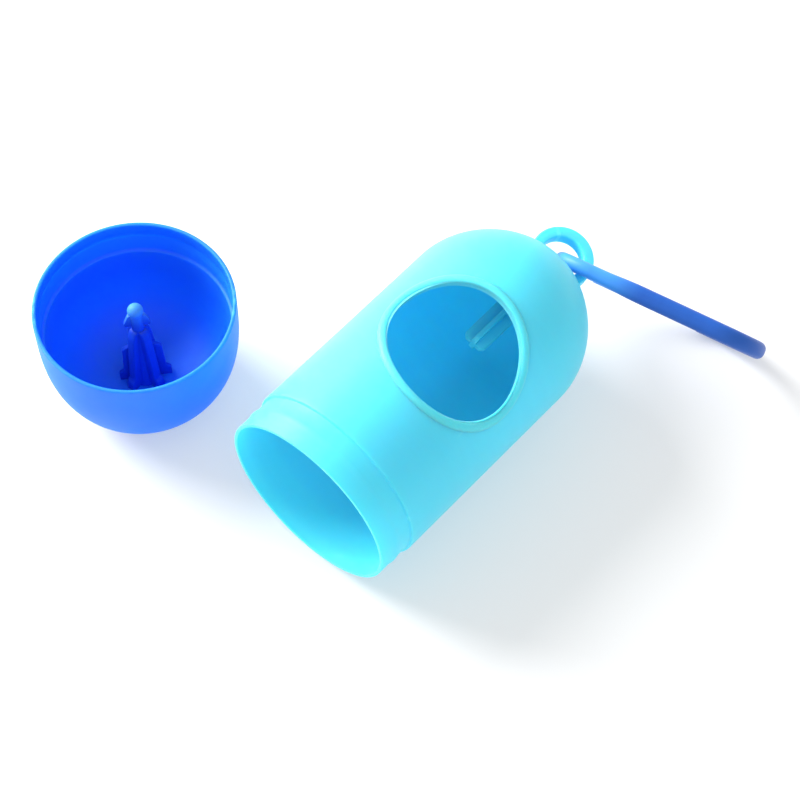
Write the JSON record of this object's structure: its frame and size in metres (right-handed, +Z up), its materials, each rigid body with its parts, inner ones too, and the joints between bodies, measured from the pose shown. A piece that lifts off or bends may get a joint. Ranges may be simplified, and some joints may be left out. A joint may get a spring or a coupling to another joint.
{
  "type": "dog waste bag dispenser",
  "caption": "Capsule-shaped waste bag dispenser laid open: barrel with a window and an eye, cap with a spindle, spring-gate clip.",
  "frame": {"origin": "centre of the cap's foot, on the ground", "axes": "+X along the barrel from its mouth to its dome, +Z up, the cap on the +Y side of the barrel"},
  "size_m": [0.1081, 0.1134, 0.0399],
  "materials": {
    "barrel_plastic": "satin light aqua moulded plastic, faintly translucent",
    "cap_plastic": "satin deep blue moulded plastic",
    "clip_plastic": "satin mid blue moulded plastic with softly rounded edges",
    "steel": "plain drawn wire"
  },
  "bodies": {
    "barrel": {"barrel": "barrel_plastic"},
    "cap": {"cap": "cap_plastic", "spindle": "cap_plastic"},
    "clip": {"clip_frame": "clip_plastic", "gate_pin": "steel"},
    "gate": {"clip_gate": "clip_plastic", "gate_spring": "steel"}
  },
  "joints": [
    {"name": "cap_lift", "type": "slide", "parent": "barrel", "child": "cap", "axis": [0, 0, 1], "range_m": [0, 0.06]},
    {"name": "clip_swing", "type": "hinge", "parent": "barrel", "child": "clip", "pos_m": [0.0687, -0.05724, 0.0181], "axis": [-1, 0, 0], "range_deg": [0, 110]},
    {"name": "gate_swing", "type": "hinge", "parent": "clip", "child": "gate", "pos_m": [0.08361, -0.07499, 0.0033], "axis": [0.8295, 0.1763, 0.5299], "range_deg": [0, 25], "stiffness_Nm_per_rad": 0.0005, "springref_deg": -28.65}
  ]
}
